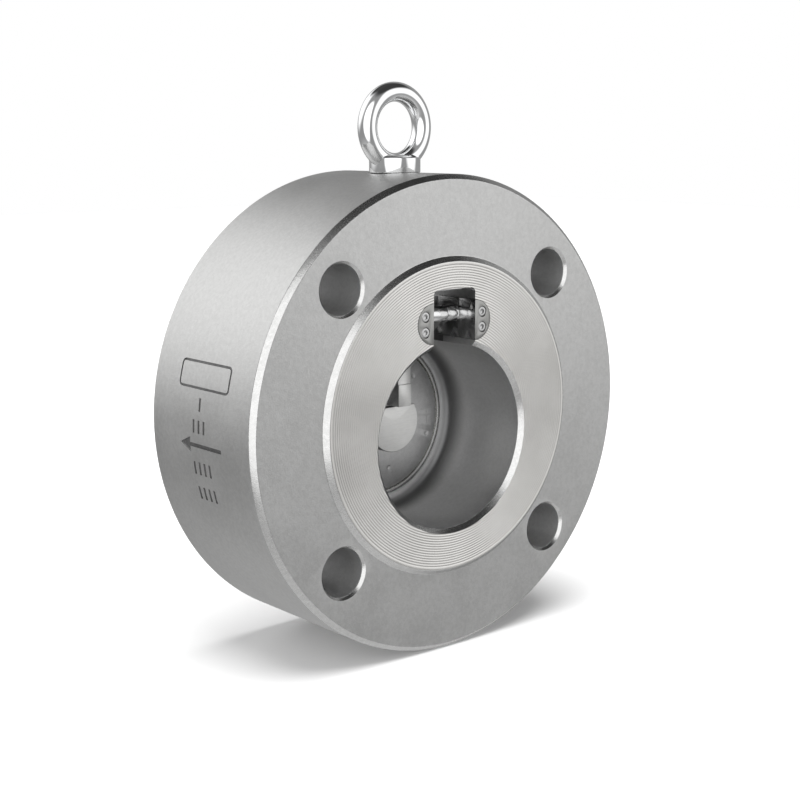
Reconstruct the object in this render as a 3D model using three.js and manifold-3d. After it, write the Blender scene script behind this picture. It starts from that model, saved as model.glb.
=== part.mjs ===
// Single-disc wafer check valve, NPS 3 class 150, with a body as wide as the pipe flanges.
// Millimetres. Y runs along the pipe: the outlet face is at -Y, the inlet face at +Y.
// X is right and Z is up, seen from the outlet. The origin is on the pipe axis, mid-length.

import * as THREE from 'three';
import { mergeVertices } from 'three/addons/utils/BufferGeometryUtils.js';
import Module from 'manifold-3d';

const wasm = await Module();
wasm.setup();

// ---- driving dimensions -------------------------------------------------------------

const FLANGE_R = 95;             // outside radius of the flange and of the whole body
const FLANGE_HALF = 34.5;        // half the body's length without its raised faces
const RAISED_R = 61.5;           // flat part of a raised face
const RAISED_H = 2;              // height of a raised face and of its 45 degree edge
const EDGE = 2;                  // 45 degree edge on the flange rim
const FACE = FLANGE_HALF + RAISED_H;

const BOLT_PCR = 76.2;           // bolt circle radius
const BOLT_HOLE_R = 9.525;
const BOLT_SINK = 1.1;           // 45 degree edge at each end of a bolt hole

const MOUTH_R = 37;              // chamber and outlet mouth, below the pipe axis
const MOUTH_Z = -8;
const MOUTH_BEVEL = 1.9;
const DISC_Z = -7.4;             // height of the disc, its seat and its stud
const DISC_R = 30.2;
const DISC_FACE_Y = 8.9;         // outlet side of the closed disc
const DISC_RIM = 0.8;
const DISC_T = 7;
const SEAT_R = 25;               // opening of the seat ring
const CORNER_R = 4;              // rounded corner between chamber wall and end wall
const INLET_R = 37;              // inlet port at the inlet face, on the pipe axis

const SLOT_HALF = 10.8;          // hinge slot in the outlet face
const SLOT_TOP = 50.9;
const SLOT_Y = -28.6;            // back wall of its shallow upper part
const SLOT_BACK_Y = -3;          // back wall of its deep lower part
const RECESS_HALF = 19;          // oval recess for the bearing blocks and keepers
const RECESS_R = 8.1;
const RECESS_Z = 37.9;
const RECESS_Y = -14;
const KEEPER_T = 9.5;

const PIN_Y = -23.5;
const PIN_Z = 39.6;
const PIN_R = 2;
const PIN_HALF = 13.3;
const KNUCKLE_R = 3.4;
const KNUCKLE_HALF = 5.2;
const SLEEVE_R = 3.1;            // outside of the pin spacer
const BUSH_T = 0.5;
const RUN = 0.1;                 // running clearance, on the radius
const GAP = 0.2;                 // gap between fitted pieces

const HUB_R = 12.6;
const HUB_FACE_Y = 0.2;          // machined lower half of the hub face
const HUB_STEP = 3;              // its upper half lies this much deeper
const RIB_HALF = 3.4;
const HEEL_X = [-5, -0.6];         // heel on the arm that stops the open disc
const RIB_FACE_Y = -6.5;
const WEB_HALF = 6;
const STUD_R = 5;

const SCREW_X = 14.8;
const SCREW_Z = [34.8, 40.9];
const SCREW_HEAD_R = 2;
const SCREW_R = 1;

const EYE_RING_R = 14;           // eye bolt, M8 size
const EYE_BAR_R = 3.9;
const EYE_Z = 112.6;
const EYE_COLLAR_R = 10.3;
const EYE_SHANK_R = 4;

const FINE = 60;                 // sides of the large round shapes
const ROUND = 30;
const SMALL = 16;

// ---- materials ----------------------------------------------------------------------

const finish = (color, roughness, metalness) =>
  new THREE.MeshStandardMaterial({ color, roughness, metalness });

const blasted = finish(0xa9a9a8, 0.55, 1);
const machined = finish(0xc4c3c0, 0.35, 1);
const polished = finish(0xdadada, 0.15, 1);
const chrome = finish(0xeeeeee, 0.05, 1);
const springSteel = finish(0x8f8f92, 0.3, 1);
const rubber = finish(0x1b1b1b, 0.8, 0);

// ---- solids -------------------------------------------------------------------------

function toSolid(geometry) {
  const bare = geometry.index ? geometry.toNonIndexed() : geometry.clone();
  bare.deleteAttribute('normal');
  bare.deleteAttribute('uv');
  const merged = mergeVertices(bare, 1e-4);
  return new wasm.Manifold(new wasm.Mesh({
    numProp: 3,
    vertProperties: new Float32Array(merged.attributes.position.array),
    triVerts: new Uint32Array(merged.index.array),
  }));
}

function toGeometry(solid) {
  const { vertProperties, triVerts } = solid.getMesh();
  const geometry = new THREE.BufferGeometry();
  geometry.setAttribute('position', new THREE.BufferAttribute(new Float32Array(vertProperties), 3));
  geometry.setIndex(new THREE.BufferAttribute(new Uint32Array(triVerts), 1));
  geometry.computeVertexNormals();
  return geometry;
}

const join = (...solids) => solids.reduce((a, b) => a.add(b));
const cut = (solid, ...tools) => tools.reduce((a, b) => a.subtract(b), solid);

// A closed profile of [radius, position] points turned about the Y axis, then moved.
function turned(profile, sides, x = 0, z = 0) {
  const points = profile.map(([r, y]) => new THREE.Vector2(r, y));
  const geometry = new THREE.LatheGeometry(points, sides);
  geometry.translate(x, 0, z);
  return toSolid(geometry);
}

// A cylinder or cone along Y from y0 to y1.
const plug = (r0, y0, r1, y1, sides, x = 0, z = 0) =>
  turned([[0, y0], [r0, y0], [r1, y1], [0, y1]], sides, x, z);

// A profile of [radius, x] points turned about the hinge pin's axis.
function turnedOnPin(profile, sides) {
  const points = profile.map(([r, x]) => new THREE.Vector2(r, x));
  const geometry = new THREE.LatheGeometry(points, sides);
  geometry.rotateZ(-Math.PI / 2);
  geometry.translate(0, PIN_Y, PIN_Z);
  return toSolid(geometry);
}

const rod = (r, x0, x1, sides) => turnedOnPin([[0, x0], [r, x0], [r, x1], [0, x1]], sides);
const tube = (inner, outer, x0, x1, sides) =>
  turnedOnPin([[inner, x0], [outer, x0], [outer, x1], [inner, x1], [inner, x0]], sides);

function block(x0, x1, y0, y1, z0, z1) {
  const geometry = new THREE.BoxGeometry(x1 - x0, y1 - y0, z1 - z0);
  geometry.translate((x0 + x1) / 2, (y0 + y1) / 2, (z0 + z1) / 2);
  return toSolid(geometry);
}

// An outline in X and Z pushed along Y from y0 to y1.
function pushedY(shape, y0, y1, curveSegments = 8) {
  const geometry = new THREE.ExtrudeGeometry(shape, {
    depth: y1 - y0,
    bevelEnabled: false,
    curveSegments,
  });
  geometry.rotateX(Math.PI / 2);
  geometry.translate(0, y1, 0);
  return toSolid(geometry);
}

// An outline in Y and Z pushed along X from x0 to x1.
function pushedX(points, x0, x1) {
  const shape = new THREE.Shape(points.map(([y, z]) => new THREE.Vector2(y, z)));
  const geometry = new THREE.ExtrudeGeometry(shape, { depth: x1 - x0, bevelEnabled: false });
  geometry.translate(0, 0, x0);
  geometry.applyMatrix4(new THREE.Matrix4().set(
    0, 0, 1, 0,
    1, 0, 0, 0,
    0, 1, 0, 0,
    0, 0, 0, 1,
  ));
  return toSolid(geometry);
}

// ---- body ---------------------------------------------------------------------------

function bodyBlank() {
  const step = RAISED_R + RAISED_H;
  const outlet = [
    [0, -FACE],
    [RAISED_R, -FACE],
    [step, -FLANGE_HALF],
    [FLANGE_R - EDGE, -FLANGE_HALF],
    [FLANGE_R, -FLANGE_HALF + EDGE],
  ];
  const inlet = outlet.map(([r, y]) => [r, -y]).reverse();
  return turned([...outlet, ...inlet], FINE);
}

function boltHoles() {
  const end = FLANGE_HALF;
  const wide = BOLT_HOLE_R + BOLT_SINK;
  const at = BOLT_PCR * Math.SQRT1_2;
  const holes = [];
  for (const x of [-at, at]) {
    for (const z of [-at, at]) {
      holes.push(turned([
        [0, -end - 1],
        [wide + 1, -end - 1],
        [BOLT_HOLE_R, -end + BOLT_SINK],
        [BOLT_HOLE_R, end - BOLT_SINK],
        [wide + 1, end + 1],
        [0, end + 1],
      ], ROUND, x, z));
    }
  }
  return holes;
}

// Chamber from the outlet mouth to its end wall, with a rounded corner at the bottom.
function chamber() {
  const profile = [
    [0, -FACE - 1],
    [MOUTH_R + MOUTH_BEVEL + 1, -FACE - 1],
    [MOUTH_R, -FACE + MOUTH_BEVEL],
  ];
  const steps = 3;
  for (let i = 0; i <= steps; i++) {
    const a = (i / steps) * Math.PI / 2;
    profile.push([
      MOUTH_R - CORNER_R * (1 - Math.cos(a)),
      DISC_FACE_Y - CORNER_R * (1 - Math.sin(a)),
    ]);
  }
  profile.push([0, DISC_FACE_Y]);
  return turned(profile, FINE, 0, MOUTH_Z);
}

const SEAT_BACK = DISC_FACE_Y + 13;    // shoulder that the seat ring rests against
const SEAT_OUT = DISC_R + 2.2;         // outside radius of the seat ring
const SEAL_R = 1.3;                    // section radius of the seal behind it

const seatPocket = () => join(
  plug(SEAT_OUT + GAP, DISC_FACE_Y - 1, SEAT_OUT + GAP, SEAT_BACK, FINE, 0, DISC_Z),
  plug(SEAT_R, SEAT_BACK - 1, SEAT_R, SEAT_BACK + 2, FINE, 0, DISC_Z),
);

// Inlet port: a cone whose centre line climbs from the seat to the pipe axis.
function inletPort() {
  const y0 = SEAT_BACK + 1;
  const geometry = new THREE.CylinderGeometry(INLET_R, SEAT_R, FACE - y0, FINE);
  geometry.translate(0, (FACE + y0) / 2, 0);
  const position = geometry.attributes.position;
  for (let i = 0; i < position.count; i++) {
    const rise = (position.getY(i) - y0) / (FACE - y0);
    position.setZ(i, position.getZ(i) + DISC_Z * (1 - rise));
  }
  const bevel = plug(INLET_R - 1, FACE - 1, INLET_R + 1 + MOUTH_BEVEL, FACE + 1, FINE);
  return join(toSolid(geometry), bevel);
}

function ovalOutline(half, radius) {
  const shape = new THREE.Shape();
  const straight = half - radius;
  shape.absarc(straight, RECESS_Z, radius, -Math.PI / 2, Math.PI / 2, false);
  shape.absarc(-straight, RECESS_Z, radius, Math.PI / 2, 3 * Math.PI / 2, false);
  return shape;
}

const SLOT_FLOOR = MOUTH_Z + MOUTH_R - 6;    // well inside the chamber
const HEEL_STOP_Y = PIN_Y + 5.9;             // wall that the open arm's heel rests on
const SLOT_STEP_Z = 49.4;                    // top of the slot's deeper part

function slotOutline() {
  const r = 2;
  const shape = new THREE.Shape();
  shape.moveTo(SLOT_HALF, SLOT_FLOOR);
  shape.lineTo(SLOT_HALF, SLOT_TOP - r);
  shape.absarc(SLOT_HALF - r, SLOT_TOP - r, r, 0, Math.PI / 2, false);
  shape.absarc(-SLOT_HALF + r, SLOT_TOP - r, r, Math.PI / 2, Math.PI, false);
  shape.lineTo(-SLOT_HALF, SLOT_FLOOR);
  return shape;
}

// The slot is shallow at its top; its lower part opens into the chamber behind the pin.
function hingeSlot() {
  const half = SLOT_HALF;
  return join(
    pushedY(slotOutline(), -FACE - 1, SLOT_Y),
    block(-half, half, -FACE, HEEL_STOP_Y, SLOT_FLOOR, SLOT_STEP_Z),
    block(-half, half, -FACE, SLOT_BACK_Y, SLOT_FLOOR, PIN_Z + 1),
  );
}

const keeperRecess = () => pushedY(ovalOutline(RECESS_HALF, RECESS_R), -FACE - 1, RECESS_Y, 10);

const EYE_SEAT_Z = FLANGE_R - 0.4;
const EYE_HOLE_DEPTH = 15;

function upright(profile, sides) {
  const points = profile.map(([r, z]) => new THREE.Vector2(r, z));
  const geometry = new THREE.LatheGeometry(points, sides);
  geometry.rotateX(Math.PI / 2);
  return toSolid(geometry);
}

const eyeHole = () => upright([
  [0, EYE_SEAT_Z - EYE_HOLE_DEPTH],
  [EYE_SHANK_R + GAP, EYE_SEAT_Z - EYE_HOLE_DEPTH],
  [EYE_SHANK_R + GAP, EYE_SEAT_Z],
  [EYE_COLLAR_R + 0.4, EYE_SEAT_Z],
  [EYE_COLLAR_R + 0.4, FLANGE_R + 2],
  [0, FLANGE_R + 2],
], ROUND);

const makeBody = () => cut(
  bodyBlank(),
  ...boltHoles(),
  chamber(),
  seatPocket(),
  inletPort(),
  hingeSlot(),
  keeperRecess(),
  eyeHole(),
);

// ---- seat and disc ------------------------------------------------------------------

const CONE_END_Y = DISC_FACE_Y + DISC_RIM + (DISC_R - SEAT_R - 0.4);

function makeSeatRing() {
  const lip = DISC_R + 0.55;
  const front = DISC_FACE_Y;
  const coneDepth = lip - SEAT_R;
  const groove = SEAT_OUT - 2 * SEAL_R;
  return turned([
    [SEAT_R, front + 0.75 + coneDepth],
    [lip, front + 0.75],
    [lip + 0.3, front],
    [SEAT_OUT, front],
    [SEAT_OUT, SEAT_BACK - 2 * SEAL_R - 0.4],
    [groove, SEAT_BACK - 2 * SEAL_R - 0.4],
    [groove, SEAT_BACK - GAP],
    [SEAT_R, SEAT_BACK - GAP],
    [SEAT_R, front + 0.75 + coneDepth],
  ], FINE, 0, DISC_Z);
}

function makeSeatSeal() {
  const geometry = new THREE.TorusGeometry(SEAT_OUT - SEAL_R + 0.05, SEAL_R - 0.1, 6, FINE);
  geometry.rotateX(Math.PI / 2);
  geometry.translate(0, SEAT_BACK - SEAL_R - 0.2, DISC_Z);
  return toSolid(geometry);
}

const makeDisc = () => turned([
  [STUD_R + GAP, DISC_FACE_Y],
  [DISC_R, DISC_FACE_Y],
  [DISC_R, DISC_FACE_Y + DISC_RIM],
  [SEAT_R + 0.4, CONE_END_Y],
  [SEAT_R - 1, CONE_END_Y + 0.4],
  [SEAT_R - 2, DISC_FACE_Y + DISC_T],
  [STUD_R + GAP, DISC_FACE_Y + DISC_T],
  [STUD_R + GAP, DISC_FACE_Y],
], FINE, 0, DISC_Z);

// ---- what holds the disc on the stud, on the inlet side ---------------------------------

const WASHER_Y = DISC_FACE_Y + DISC_T + GAP;
const WASHER_T = 1.6;
const NUT_Y = WASHER_Y + WASHER_T + GAP;
const NUT_T = 6;
const NUT_R = 8.7;
const LOCK_PIN_Y = NUT_Y + NUT_T + 2.3;
const LOCK_PIN_R = 1;
const LOCK_PIN_HALF = 8;
const STUD_END_Y = LOCK_PIN_Y + 2.4;

const ring = (inner, outer, y0, y1, sides) => turned([
  [inner, y0], [outer, y0], [outer, y1], [inner, y1], [inner, y0],
], sides, 0, DISC_Z);

const makeDiscWasher = () => ring(STUD_R + GAP, 9.5, WASHER_Y, WASHER_Y + WASHER_T, ROUND);

function makeDiscNut() {
  const hexagon = plug(NUT_R, NUT_Y, NUT_R, NUT_Y + NUT_T, 6, 0, DISC_Z);
  const rounding = turned([
    [0, NUT_Y], [7.9, NUT_Y], [NUT_R, NUT_Y + 0.6], [NUT_R, NUT_Y + NUT_T - 0.6],
    [7.9, NUT_Y + NUT_T], [0, NUT_Y + NUT_T],
  ], ROUND, 0, DISC_Z);
  const bore = plug(STUD_R + GAP, NUT_Y - 1, STUD_R + GAP, NUT_Y + NUT_T + 1, ROUND, 0, DISC_Z);
  return hexagon.intersect(rounding).subtract(bore);
}

// A split pin: a round head and a shank with its two legs pressed together.
function makeLockPin() {
  const geometry = new THREE.LatheGeometry([
    [0, -LOCK_PIN_HALF], [1, -LOCK_PIN_HALF], [1, LOCK_PIN_HALF - 2],
    [2, LOCK_PIN_HALF - 1.2], [2, LOCK_PIN_HALF], [0, LOCK_PIN_HALF],
  ].map(([r, x]) => new THREE.Vector2(r * LOCK_PIN_R, x)), SMALL);
  geometry.rotateZ(-Math.PI / 2);
  geometry.translate(0, LOCK_PIN_Y, DISC_Z);
  return toSolid(geometry);
}

function lockPinHole() {
  const r = LOCK_PIN_R + GAP;
  const geometry = new THREE.CylinderGeometry(r, r, 4 * STUD_R, SMALL);
  geometry.rotateZ(Math.PI / 2);
  geometry.translate(0, LOCK_PIN_Y, DISC_Z);
  return toSolid(geometry);
}

// ---- hinge arm ----------------------------------------------------------------------

const HUB_BACK_Y = DISC_FACE_Y - GAP;
const WEB_Y = HUB_FACE_Y + HUB_STEP;
const BUSH_OUT = PIN_R + RUN + BUSH_T;

// Side view of the rib: straight over the hub, then leaning forward to the knuckle.
const ribOutline = [
  [WEB_Y + 1, 0.2],
  [RIB_FACE_Y, 0.2],
  [RIB_FACE_Y, 9.3],
  [RIB_FACE_Y + 0.4, 9.3],
  [RIB_FACE_Y + 0.4, 19],
  [PIN_Y - 2, PIN_Z - 2.4],
  [PIN_Y + 2.4, PIN_Z + 2.2],
  [WEB_Y - 2.5, 24],
  [WEB_Y + 1, 18],
];

// The wide web that carries the hub's load behind the rib.
const webOutline = [
  [HUB_BACK_Y, 0],
  [WEB_Y, 0],
  [WEB_Y, 10],
  [WEB_Y - 4.5, 18],
  [WEB_Y - 2.5, 22],
  [WEB_Y + 1, 17],
  [HUB_BACK_Y, 5],
];

// A heel above the pin meets the back wall of the slot when the disc is fully open.
const heelOutline = [
  [PIN_Y - 1.6, PIN_Z],
  [PIN_Y - 1.6, PIN_Z + 5.6],
  [PIN_Y + 1.6, PIN_Z + 5.6],
  [PIN_Y + 1.6, PIN_Z],
];

function makeHingeArm() {
  const hub = cut(
    plug(HUB_R, HUB_FACE_Y, HUB_R, HUB_BACK_Y, ROUND, 0, DISC_Z),
    block(-HUB_R - 1, HUB_R + 1, HUB_FACE_Y - 1, WEB_Y, -0.9, 20),
  );
  const stud = plug(STUD_R, HUB_BACK_Y - 1, STUD_R, STUD_END_Y, ROUND, 0, DISC_Z);
  const arm = join(
    hub,
    stud,
    pushedX(ribOutline, -RIB_HALF, RIB_HALF),
    pushedX(webOutline, -WEB_HALF, WEB_HALF),
    pushedX(heelOutline, ...HEEL_X),
    rod(KNUCKLE_R, -KNUCKLE_HALF, KNUCKLE_HALF, SMALL),
  );
  return cut(
    arm,
    rod(BUSH_OUT + 0.05, -KNUCKLE_HALF - 1, KNUCKLE_HALF + 1, SMALL),
    lockPinHole(),
  );
}

// ---- hinge pin and what sits on it ------------------------------------------------------

const makeHingePin = () => rod(PIN_R, -PIN_HALF, PIN_HALF, SMALL);
const makeArmBush = () => tube(PIN_R + RUN, BUSH_OUT, -KNUCKLE_HALF, KNUCKLE_HALF, SMALL);
const makePinSpacer = () =>
  tube(PIN_R + RUN, SLEEVE_R, KNUCKLE_HALF + GAP, SLOT_HALF - GAP, SMALL);
const makeSpringWasher = () =>
  tube(PIN_R + RUN, SLEEVE_R + 0.9, -KNUCKLE_HALF - GAP - 0.8, -KNUCKLE_HALF - GAP, SMALL);

// Torsion spring: a coil round the pin with one leg on the slot's back wall and one leg
// in front of the arm's rib.
class SpringPath extends THREE.Curve {
  constructor(coilRadius, x0, x1, turns, leg) {
    super();
    Object.assign(this, { coilRadius, x0, x1, turns, leg });
  }

  getPoint(t, target = new THREE.Vector3()) {
    const legShare = 0.12;
    const wound = THREE.MathUtils.clamp((t - legShare) / (1 - 2 * legShare), 0, 1);
    const angle = wound * this.turns * 2 * Math.PI;
    const out = Math.max(0, 1 - t / legShare) + Math.max(0, 1 - (1 - t) / legShare);
    const tangent = t < 0.5 ? -1 : 1;
    const radial = new THREE.Vector2(Math.cos(angle), Math.sin(angle));
    const along = new THREE.Vector2(-Math.sin(angle), Math.cos(angle));
    return target.set(
      THREE.MathUtils.lerp(this.x0, this.x1, wound),
      PIN_Y + this.coilRadius * radial.x + tangent * this.leg * out * along.x,
      PIN_Z + this.coilRadius * radial.y + tangent * this.leg * out * along.y,
    );
  }
}

function makeClosingSpring() {
  const wire = 0.45;
  const section = new THREE.Shape();
  section.absarc(0, 0, wire, 0, 2 * Math.PI, false);
  const path = new SpringPath(3.1, -SLOT_HALF + 0.8, -KNUCKLE_HALF - 1.7, 3.25, 4.5);
  return toSolid(new THREE.ExtrudeGeometry(section, {
    steps: 56,
    curveSegments: 3,
    bevelEnabled: false,
    extrudePath: path,
  }));
}

// ---- bearing blocks, keepers and their screws -----------------------------------------

// One end of the oval recess, from the slot's wall outward, on the side given by sign.
function recessEnd(sign, y0, y1) {
  const oval = pushedY(ovalOutline(RECESS_HALF - GAP, RECESS_R - GAP), y0, y1, 10);
  const outside = sign > 0
    ? block(SLOT_HALF, RECESS_HALF + 1, y0 - 1, y1 + 1, 20, 60)
    : block(-RECESS_HALF - 1, -SLOT_HALF, y0 - 1, y1 + 1, 20, 60);
  return oval.intersect(outside);
}

const KEEPER_Y = -FACE + KEEPER_T;
const screwEnd = KEEPER_Y + 9;

const makeKeeper = (sign) => cut(
  recessEnd(sign, -FACE, KEEPER_Y - GAP),
  ...SCREW_Z.map((z) => screwShape(sign, z, 0.15, KEEPER_Y + 1)),
);

const makePinBlock = (sign) => cut(
  recessEnd(sign, KEEPER_Y, RECESS_Y - GAP),
  rod(PIN_R + 0.05, -PIN_HALF - GAP, PIN_HALF + GAP, SMALL),
  ...SCREW_Z.map((z) => screwShape(sign, z, 0.15, screwEnd + 0.5)),
);

// A countersunk screw standing in the outlet face, grown by a clearance when it cuts.
function screwShape(sign, z, grow, end) {
  const y = -FACE + (grow ? -1 : 0.25);
  const head = SCREW_HEAD_R + grow;
  const shank = SCREW_R + grow;
  return turned([
    [0, y], [head, y], [head, -FACE + 0.9], [shank, -FACE + 1.9], [shank, end], [0, end],
  ], SMALL, sign * SCREW_X, z);
}

function makeKeeperScrew(sign, z) {
  const slot = block(-0.35, 0.35, -FACE - 1, -FACE + 0.75, -3, 3);
  return screwShape(sign, z, 0, screwEnd).subtract(slot.translate([sign * SCREW_X, 0, z]));
}

// ---- eye bolt -----------------------------------------------------------------------

function makeEyeBolt() {
  const seat = EYE_SEAT_Z + GAP;
  const torus = new THREE.TorusGeometry(EYE_RING_R, EYE_BAR_R, 12, 36);
  torus.rotateX(Math.PI / 2);
  torus.translate(0, 0, EYE_Z);
  const shank = upright([
    [0, seat - 13],
    [EYE_SHANK_R - 0.8, seat - 13],
    [EYE_SHANK_R, seat - 12.2],
    [EYE_SHANK_R, seat],
    [EYE_COLLAR_R, seat],
    [EYE_COLLAR_R, seat + 5.2],
    [EYE_COLLAR_R - 0.8, seat + 6.2],
    [7.4, seat + 7],
    [0, seat + 7],
  ], ROUND);
  return join(toSolid(torus), shank);
}

// ---- assembly -----------------------------------------------------------------------

const valve = new THREE.Group();

function place(name, solid, material, parent = valve) {
  const mesh = new THREE.Mesh(toGeometry(solid), material);
  mesh.name = name;
  parent.add(mesh);
}

place('body', makeBody(), blasted);
place('seat_ring', makeSeatRing(), machined);
place('seat_seal', makeSeatSeal(), rubber);
place('eye_bolt', makeEyeBolt(), chrome);

const swinging = new THREE.Group();
valve.add(swinging);
place('hinge_arm', makeHingeArm(), machined, swinging);
place('arm_bush', makeArmBush(), machined, swinging);
place('disc_washer', makeDiscWasher(), machined, swinging);
place('disc_nut', makeDiscNut(), machined, swinging);
place('nut_lock_pin', makeLockPin(), polished, swinging);
place('disc', makeDisc(), blasted, swinging);

place('hinge_pin', makeHingePin(), polished);
place('pin_spacer', makePinSpacer(), polished);
place('spring_washer', makeSpringWasher(), machined);
place('closing_spring', makeClosingSpring(), springSteel);

for (const [side, sign] of [['left', -1], ['right', 1]]) {
  place(`pin_block_${side}`, makePinBlock(sign), machined);
  place(`pin_keeper_${side}`, makeKeeper(sign), machined);
  for (const [level, z] of [['lower', SCREW_Z[0]], ['upper', SCREW_Z[1]]]) {
    place(`keeper_screw_${side}_${level}`, makeKeeperScrew(sign, z), machined);
  }
}

export default valve;
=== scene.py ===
import math

import bmesh
import bpy
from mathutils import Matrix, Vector


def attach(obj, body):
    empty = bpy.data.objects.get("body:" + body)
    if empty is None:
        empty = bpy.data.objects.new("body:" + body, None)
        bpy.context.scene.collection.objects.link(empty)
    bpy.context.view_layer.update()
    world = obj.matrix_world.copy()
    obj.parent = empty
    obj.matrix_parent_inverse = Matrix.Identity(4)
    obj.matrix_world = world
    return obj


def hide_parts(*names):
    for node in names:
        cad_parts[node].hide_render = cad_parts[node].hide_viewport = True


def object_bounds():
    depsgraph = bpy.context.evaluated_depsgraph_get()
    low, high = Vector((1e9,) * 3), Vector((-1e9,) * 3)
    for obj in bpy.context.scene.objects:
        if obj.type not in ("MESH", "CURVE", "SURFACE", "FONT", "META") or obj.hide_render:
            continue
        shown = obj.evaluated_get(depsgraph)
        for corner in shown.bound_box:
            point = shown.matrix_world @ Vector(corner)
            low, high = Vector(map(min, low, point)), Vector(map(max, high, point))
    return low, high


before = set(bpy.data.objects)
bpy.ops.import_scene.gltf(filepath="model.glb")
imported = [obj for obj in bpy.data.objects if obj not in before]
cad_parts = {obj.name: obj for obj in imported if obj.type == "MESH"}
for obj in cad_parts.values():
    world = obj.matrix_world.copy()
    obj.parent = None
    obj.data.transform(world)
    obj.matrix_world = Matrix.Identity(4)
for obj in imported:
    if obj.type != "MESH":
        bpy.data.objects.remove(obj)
cad_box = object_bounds()

# Lengths are in millimetres until a mesh is made. The frame is the CAD model's: Y along the
# pipe from the outlet face to the inlet face, X to the right, Z up, origin on the pipe axis.
MM = 0.001

# ---- sizes ---------------------------------------------------------------------------

FLANGE_R = 95.0
FLANGE_HALF = 34.5
FACE = 36.5
RAISED_R = 61.5
RAISED_FOOT_R = 63.5
RIM_EDGE = 2.0
BOLT_PCR = 76.2
BOLT_R = 9.525
BOLT_SINK = 1.1
GROOVE_PITCH = 1.0
GROOVE_DEPTH = 0.10
MARK_DEPTH = 0.5

MOUTH_R = 37.0
MOUTH_Z = -8.0
MOUTH_BEVEL = 1.9
CORNER_R = 4.0
DISC_Z = -7.4
DISC_R = 30.2
DISC_FACE_Y = 8.9
DISC_RIM = 0.8
DISC_T = 7.0
SEAT_R = 25.0
SEAT_BACK = 21.9
SEAT_OUT = 32.4
INLET_R = 37.0

SLOT_HALF = 10.8
SLOT_TOP = 50.9
SLOT_Y = -28.6
SLOT_BACK_Y = -3.0
SLOT_FLOOR = 23.0
HEEL_STOP_Y = -17.6
SLOT_STEP_Z = 49.4
RECESS_HALF = 19.0
RECESS_R = 8.1
RECESS_Z = 37.9
RECESS_Y = -14.0
KEEPER_Y = -27.0

PIN_Y = -23.5
PIN_Z = 39.6
PIN_R = 2.0
PIN_HALF = 13.3
KNUCKLE_R = 3.4
KNUCKLE_HALF = 5.2
SPACER_R = 3.3
WASHER_R = 4.0
BUSH_R = 2.6
GAP = 0.2

HUB_R = 12.6
HUB_FACE_Y = 0.2
HUB_BACK_Y = 8.7
WEB_Y = 3.2
RIB_HALF = 3.4
HEEL_X = (-5.0, -0.6)
RIB_FACE_Y = -6.5
WEB_HALF = 6.0
HEEL_HALF_Y = 1.6
HEEL_HEIGHT = 5.6
STUD_R = 5.0
WASHER_Y = 16.1
WASHER_T = 1.6
NUT_Y = 17.9
NUT_T = 6.0
NUT_R = 8.7
LOCK_PIN_Y = 26.2
STUD_END_Y = 28.6

SCREW_X = 14.8
SCREW_Z = (34.8, 40.9)

EYE_Z = 112.6
EYE_RING_R = 14.0
EYE_BAR_R = 3.9
EYE_SEAT_Z = 94.8
EYE_COLLAR_R = 10.3

ROUND = 224                      # sides of the large round shapes
MEDIUM = 96
SMALL = 40
SHARP_ANGLE = 28.0               # degrees; sharper edges stay crisp


# ---- shader writing ------------------------------------------------------------------

class Value:
    """A shader socket that takes part in plain arithmetic."""

    def __init__(self, tree, socket):
        self.tree = tree
        self.socket = socket

    def math(self, operation, *others):
        node = self.tree.nodes.new("ShaderNodeMath")
        node.operation = operation
        for socket, value in zip(node.inputs, others):
            feed(self.tree, socket, value)
        return Value(self.tree, node.outputs[0])

    def __add__(self, other):
        return self.math("ADD", self, other)

    def __radd__(self, other):
        return self.math("ADD", other, self)

    def __sub__(self, other):
        return self.math("SUBTRACT", self, other)

    def __rsub__(self, other):
        return self.math("SUBTRACT", other, self)

    def __mul__(self, other):
        return self.math("MULTIPLY", self, other)

    def __rmul__(self, other):
        return self.math("MULTIPLY", other, self)

    def __pow__(self, other):
        return self.math("POWER", self, other)

    def hypot(self, other):
        return (self * self + other * other) ** 0.5


def feed(tree, socket, value):
    """Links a value to a socket, or sets the socket to a plain number or colour."""
    if isinstance(value, Value):
        tree.links.new(value.socket, socket)
    elif isinstance(value, tuple) and len(value) == 3 and socket.type == "RGBA":
        socket.default_value = (*value, 1.0)
    else:
        socket.default_value = value


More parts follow.
